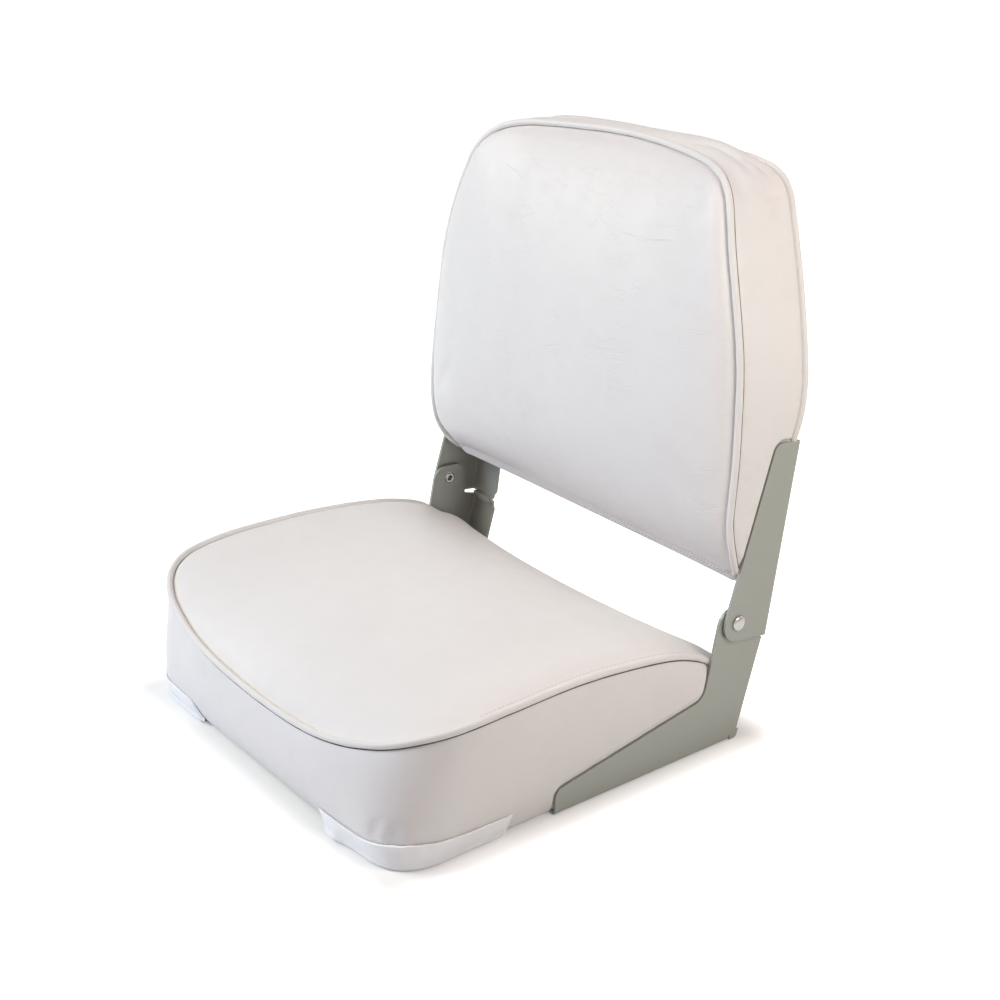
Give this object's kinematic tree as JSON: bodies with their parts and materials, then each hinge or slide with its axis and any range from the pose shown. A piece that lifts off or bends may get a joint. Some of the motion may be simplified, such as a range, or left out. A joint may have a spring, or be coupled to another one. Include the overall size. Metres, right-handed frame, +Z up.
{
  "type": "folding boat seat",
  "caption": "Low-back upholstered boat seat whose cushioned backrest folds forward on riveted sheet-metal side hinges.",
  "frame": {"origin": "on the ground under the middle of the seat's bounding box", "axes": "+Z up, +X to the right as seen from the front, +Y to the rear; the sitter faces -Y"},
  "size_m": [0.4114, 0.4299, 0.4734],
  "materials": {
    "white_vinyl": "satin",
    "vinyl_piping": "satin",
    "foam": "matte",
    "plywood": "matte",
    "white_rear_panel": "satin",
    "grey_paint": "satin",
    "bright_rivet": "polished",
    "nylon": "satin",
    "zinc_steel": "satin",
    "clear_plastic": "satin"
  },
  "bodies": {
    "seat": {"corner_protector_left": "clear_plastic", "corner_protector_right": "clear_plastic", "hinge_lower_left": "grey_paint", "hinge_lower_right": "grey_paint", "mount_nut_front_left": "zinc_steel", "mount_nut_front_right": "zinc_steel", "mount_nut_rear_left": "zinc_steel", "mount_nut_rear_right": "zinc_steel", "pivot_rivet_left": "bright_rivet", "pivot_rivet_right": "bright_rivet", "pivot_washer_left": "nylon", "pivot_washer_right": "nylon", "seat_board": "plywood", "seat_cover": "white_vinyl", "seat_foam": "foam", "seat_piping": "vinyl_piping", "seat_screw_left_1": "zinc_steel", "seat_screw_left_2": "zinc_steel", "seat_screw_left_3": "zinc_steel", "seat_screw_right_1": "zinc_steel", "seat_screw_right_2": "zinc_steel", "seat_screw_right_3": "zinc_steel"},
    "backrest": {"back_board": "plywood", "back_cover": "white_vinyl", "back_foam": "foam", "back_piping_front": "vinyl_piping", "back_piping_rear": "vinyl_piping", "back_rear_panel": "white_rear_panel", "back_screw_left_1": "zinc_steel", "back_screw_left_2": "zinc_steel", "back_screw_left_3": "zinc_steel", "back_screw_right_1": "zinc_steel", "back_screw_right_2": "zinc_steel", "back_screw_right_3": "zinc_steel", "hinge_upper_left": "grey_paint", "hinge_upper_right": "grey_paint"}
  },
  "joints": [
    {"name": "backrest_fold", "type": "hinge", "parent": "seat", "child": "backrest", "pos_m": [0, 0.1245, 0.11], "axis": [1, 0, 0], "range_deg": [0, 68]}
  ]
}
